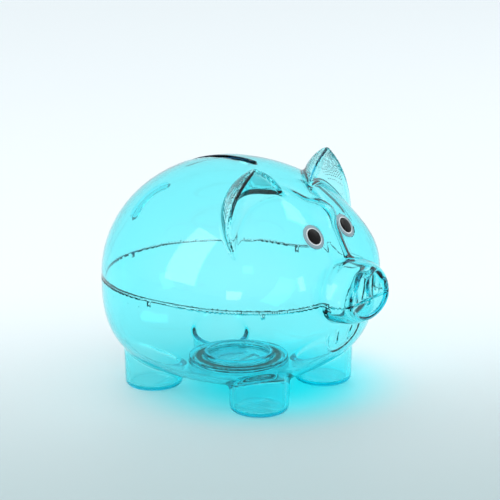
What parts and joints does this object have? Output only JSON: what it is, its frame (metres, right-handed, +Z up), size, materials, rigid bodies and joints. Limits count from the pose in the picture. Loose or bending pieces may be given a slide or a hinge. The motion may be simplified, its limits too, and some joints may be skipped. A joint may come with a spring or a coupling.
{
  "type": "piggy bank",
  "caption": "Transparent plastic money bank shaped as a standing pig, made of an upper and a lower shell, with a coin slot in the back and a round plug in the belly.",
  "frame": {"origin": "the floor under the middle of the bounding box", "axes": "+Z up, -Y the way the snout faces, +X the pig's left side"},
  "size_m": [0.099, 0.115, 0.0932],
  "materials": {
    "clear_turquoise": "transparent, polished, tinted turquoise",
    "clear_plug": "translucent, smooth, tinted turquoise",
    "eye_disc": "smooth",
    "pupil": "glossy"
  },
  "bodies": {
    "lower_half": {"lower_shell": "clear_turquoise"},
    "upper_half": {"upper_shell": "clear_turquoise", "right_eye_disc": "eye_disc", "left_eye_disc": "eye_disc", "right_pupil": "pupil", "left_pupil": "pupil"},
    "plug": {"belly_plug": "clear_plug"}
  },
  "joints": [
    {"name": "upper_lift", "type": "slide", "parent": "lower_half", "child": "upper_half", "axis": [0, 0, 1], "range_m": [0, 0.06]},
    {"name": "plug_pull", "type": "slide", "parent": "lower_half", "child": "plug", "axis": [0, 0, -1], "range_m": [0, 0.014]}
  ]
}
